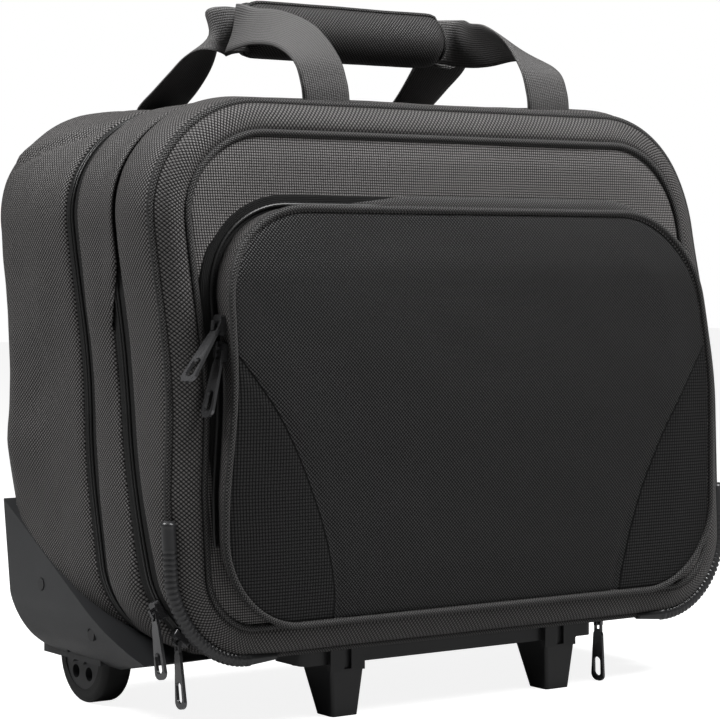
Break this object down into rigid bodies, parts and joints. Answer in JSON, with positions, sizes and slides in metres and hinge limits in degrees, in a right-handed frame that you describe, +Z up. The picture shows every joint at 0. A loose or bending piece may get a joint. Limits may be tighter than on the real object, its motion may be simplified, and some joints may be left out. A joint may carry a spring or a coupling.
{
  "type": "pilot rolling flight case",
  "caption": "Soft-sided black pilot case on two wheels, with a telescopic pull handle, two zipped compartments that hinge open, a front pocket and paired carry handles.",
  "frame": {"origin": "centre of the object's bounding box, at the floor that the feet and wheels stand on", "axes": "+X to the right seen from the front, +Y to the back, +Z up; the front faces -Y"},
  "size_m": [0.4614, 0.248, 0.4632],
  "materials": {
    "ballistic_fabric": "coarse basket weave, slightly sheened",
    "ribbed_fabric": "small ribbed grid weave",
    "piping": "satin welt cord",
    "protector_rubber": "ribbed, satin",
    "zip_tape": "fine twill with coil teeth",
    "webbing": "ribbed webbing",
    "grip_fabric": "padded basket weave",
    "lining": "smooth lining",
    "guard_plastic": "fine moulded texture",
    "rail_plastic": "satin moulded",
    "tube_aluminium": "grey anodised",
    "steel": "plated",
    "tyre_rubber": "matt",
    "hub_plastic": "satin",
    "slider_metal": "gloss black",
    "button_plastic": "satin grey"
  },
  "bodies": {
    "case": {"rear_shell": "ballistic_fabric", "rear_lining_panel": "lining", "rear_zip_outer_tape": "zip_tape", "handle_bezel": "rail_plastic", "outer_tube_left": "tube_aluminium", "outer_tube_right": "tube_aluminium", "tube_base_bracket": "rail_plastic", "wheel_guard_left": "guard_plastic", "wheel_guard_right": "guard_plastic", "guard_screws": "steel", "wheel_axles": "steel", "bottom_rail": "rail_plastic", "foot_left": "rail_plastic", "foot_right": "rail_plastic", "rail_screws": "steel"},
    "trolley_middle": {"middle_tube_left": "tube_aluminium", "middle_tube_right": "tube_aluminium", "middle_tube_collars": "rail_plastic"},
    "trolley_grip": {"inner_tube_left": "tube_aluminium", "inner_tube_right": "tube_aluminium", "trolley_grip": "rail_plastic", "button_spring": "steel"},
    "release_button": {"release_button": "button_plastic", "push_rods": "steel"},
    "lock_bolt_left": {"lock_bolt_left": "steel"},
    "lock_bolt_right": {"lock_bolt_right": "steel"},
    "wheel_left": {"wheel_tyre_left": "tyre_rubber", "wheel_hub_left": "hub_plastic", "wheel_bearing_left": "steel"},
    "wheel_right": {"wheel_tyre_right": "tyre_rubber", "wheel_hub_right": "hub_plastic", "wheel_bearing_right": "steel"},
    "middle_section": {"middle_gusset": "ballistic_fabric", "rear_zip_inner_tape": "zip_tape", "main_zip_rear_tape": "zip_tape", "divider_panel": "lining"},
    "front_section": {"front_gusset": "ballistic_fabric", "main_zip_front_tape": "zip_tape", "front_panel": "ballistic_fabric", "front_piping": "piping", "panel_piping": "piping", "corner_protector_left": "protector_rubber", "corner_protector_right": "protector_rubber", "pocket_zip_tape": "zip_tape"},
    "front_pocket": {"pocket_shell": "ballistic_fabric", "pocket_piping": "piping"},
    "front_handle": {"front_strap": "webbing", "front_grip_pad": "grip_fabric"},
    "rear_handle": {"rear_strap": "webbing", "rear_grip_pad": "grip_fabric"},
    "main_zip_upper_slider": {"main_zip_upper_slider": "slider_metal"},
    "main_zip_upper_pull": {"main_zip_upper_pull": "slider_metal"},
    "main_zip_lower_slider": {"main_zip_lower_slider": "slider_metal"},
    "main_zip_lower_pull": {"main_zip_lower_pull": "slider_metal"},
    "rear_zip_slider": {"rear_zip_slider": "slider_metal"},
    "rear_zip_pull": {"rear_zip_pull": "slider_metal"},
    "pocket_zip_upper_slider": {"pocket_zip_upper_slider": "slider_metal"},
    "pocket_zip_upper_pull": {"pocket_zip_upper_pull": "slider_metal"},
    "pocket_zip_lower_slider": {"pocket_zip_lower_slider": "slider_metal"},
    "pocket_zip_lower_pull": {"pocket_zip_lower_pull": "slider_metal"}
  },
  "joints": [
    {"name": "trolley_lower_stage", "type": "slide", "parent": "case", "child": "trolley_middle", "axis": [0, 0, 1], "range_m": [0, 0.26]},
    {"name": "trolley_upper_stage", "type": "slide", "parent": "trolley_middle", "child": "trolley_grip", "axis": [0, 0, 1], "range_m": [0, 0.26]},
    {"name": "release_button_press", "type": "slide", "parent": "trolley_grip", "child": "release_button", "axis": [0, 0, -1], "range_m": [0, 0.003], "stiffness_N_per_m": 900, "springref_m": -0.002, "deforming": ["button_spring"]},
    {"name": "lock_bolt_left_draw", "type": "slide", "parent": "trolley_grip", "child": "lock_bolt_left", "axis": [1, 0, 0], "range_m": [0, 0.00225]},
    {"name": "lock_bolt_right_draw", "type": "slide", "parent": "trolley_grip", "child": "lock_bolt_right", "axis": [-1, 0, 0], "range_m": [0, 0.00225]},
    {"name": "wheel_left_spin", "type": "hinge", "parent": "case", "child": "wheel_left", "pos_m": [-0.193, 0.0585, 0.032], "axis": [1, 0, 0], "continuous": true},
    {"name": "wheel_right_spin", "type": "hinge", "parent": "case", "child": "wheel_right", "pos_m": [0.193, 0.0585, 0.032], "axis": [1, 0, 0], "continuous": true},
    {"name": "rear_compartment_open", "type": "hinge", "parent": "case", "child": "middle_section", "pos_m": [0, -0.086, 0.0465], "axis": [1, 0, 0], "range_deg": [0, 30]},
    {"name": "main_compartment_open", "type": "hinge", "parent": "middle_section", "child": "front_section", "pos_m": [0, -0.086, 0.0465], "axis": [1, 0, 0], "range_deg": [0, 40]},
    {"name": "front_pocket_open", "type": "hinge", "parent": "front_section", "child": "front_pocket", "pos_m": [0, -0.1013, 0.066], "axis": [1, 0, 0], "range_deg": [0, 22]},
    {"name": "front_handle_swing", "type": "hinge", "parent": "front_section", "child": "front_handle", "pos_m": [0, -0.079, 0.3915], "axis": [1, 0, 0], "range_deg": [0, 110]},
    {"name": "rear_handle_swing", "type": "hinge", "parent": "case", "child": "rear_handle", "pos_m": [0, 0.117, 0.3915], "axis": [-1, 0, 0], "range_deg": [0, 120]},
    {"name": "main_zip_upper_run", "type": "hinge", "parent": "middle_section", "child": "main_zip_upper_slider", "pos_m": [-0.16911, -0.06371, 0.09845], "axis": [0, 0.9542, -0.2992], "range_deg": [0, 17.7]},
    {"name": "main_zip_lower_run", "type": "hinge", "parent": "middle_section", "child": "main_zip_lower_slider", "pos_m": [-0.1725, -0.06437, 0.09635], "axis": [0, -0.9542, 0.2992], "range_deg": [0, 10.6]},
    {"name": "rear_zip_run", "type": "slide", "parent": "case", "child": "rear_zip_slider", "axis": [1, 0, 0], "range_m": [0, 0.014]},
    {"name": "pocket_zip_upper_run", "type": "hinge", "parent": "front_pocket", "child": "pocket_zip_upper_slider", "pos_m": [-0.12796, -0.109, 0.2615], "axis": [0, 1, 0], "range_deg": [0, 75]},
    {"name": "pocket_zip_lower_run", "type": "slide", "parent": "front_pocket", "child": "pocket_zip_lower_slider", "axis": [-0.0659, 0, -0.9978], "range_m": [0, 0.09]},
    {"name": "main_zip_upper_pull_swing", "type": "hinge", "parent": "main_zip_upper_slider", "child": "main_zip_upper_pull", "pos_m": [-0.2273, -0.07013, 0.0758], "axis": [0.1084, 0.9608, -0.2553], "range_deg": [-10, 40]},
    {"name": "main_zip_lower_pull_swing", "type": "hinge", "parent": "main_zip_lower_slider", "child": "main_zip_lower_pull", "pos_m": [-0.2149, -0.07533, 0.05742], "axis": [0.1531, 0.9763, -0.1531], "range_deg": [-22, 8]},
    {"name": "rear_zip_pull_swing", "type": "hinge", "parent": "rear_zip_slider", "child": "rear_zip_pull", "pos_m": [0.132, -0.071, 0.0404], "axis": [0, 1, 0], "range_deg": [-28, 28]},
    {"name": "pocket_zip_upper_pull_swing", "type": "hinge", "parent": "pocket_zip_upper_slider", "child": "pocket_zip_upper_pull", "pos_m": [-0.19681, -0.109, 0.25237], "axis": [0, 1, 0], "range_deg": [-8, 45]},
    {"name": "pocket_zip_lower_pull_swing", "type": "hinge", "parent": "pocket_zip_lower_slider", "child": "pocket_zip_lower_pull", "pos_m": [-0.19787, -0.109, 0.23637], "axis": [0, 1, 0], "range_deg": [-8, 10]}
  ],
  "couplings": [
    {"joint": "lock_bolt_left_draw", "follows": "release_button_press", "ratio": 0.75},
    {"joint": "lock_bolt_right_draw", "follows": "release_button_press", "ratio": 0.75}
  ]
}
